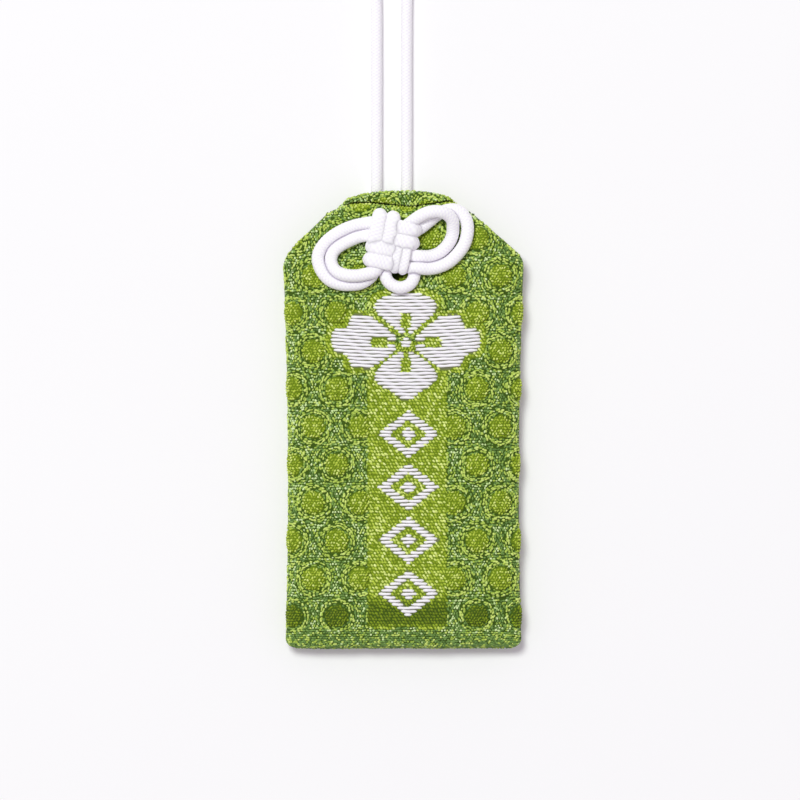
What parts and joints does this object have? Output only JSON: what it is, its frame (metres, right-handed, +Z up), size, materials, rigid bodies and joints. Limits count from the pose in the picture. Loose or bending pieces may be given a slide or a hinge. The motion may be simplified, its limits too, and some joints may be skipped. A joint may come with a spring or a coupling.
{
  "type": "charm pouch",
  "caption": "Flat brocade charm pouch with cut top corners and an open mouth, closed by a white cord tied in a double bow and drawn out as a hanging loop, with a wrapped wooden slip inside.",
  "frame": {"origin": "centre of the pouch's outline, on the table under its back", "axes": "+X across the pouch to the right as its front is seen, +Y from the bottom fold to the mouth and the cord, +Z up from the table out of its front"},
  "size_m": [0.038, 0.1267, 0.0099],
  "materials": {
    "brocade": "lime green brocade with dark green warp, mint specks and white floats",
    "lining": "plain thin off-white lining",
    "thread": "green sewing thread",
    "card": "grey-white uncoated card",
    "paper": "soft white long-fibre paper",
    "wood": "planed bare cypress",
    "cord": "white round braid"
  },
  "bodies": {
    "pouch": {"brocade_cover": "brocade", "cover_lining": "lining", "left_seam_thread": "thread", "right_seam_thread": "thread", "tied_cord": "cord"},
    "packet": {"stiffening_card": "card", "slip_wrapper": "paper", "wooden_slip": "wood"},
    "loop": {"hanging_loop": "cord"}
  },
  "joints": [
    {"name": "loop_lift", "type": "hinge", "parent": "pouch", "child": "loop", "pos_m": [0, 0.0372, 0.00093], "axis": [1, 0, 0], "range_deg": [0, 90]},
    {"name": "packet_slide", "type": "slide", "parent": "pouch", "child": "packet", "axis": [0, 1, 0], "range_m": [0, 0.002]}
  ]
}
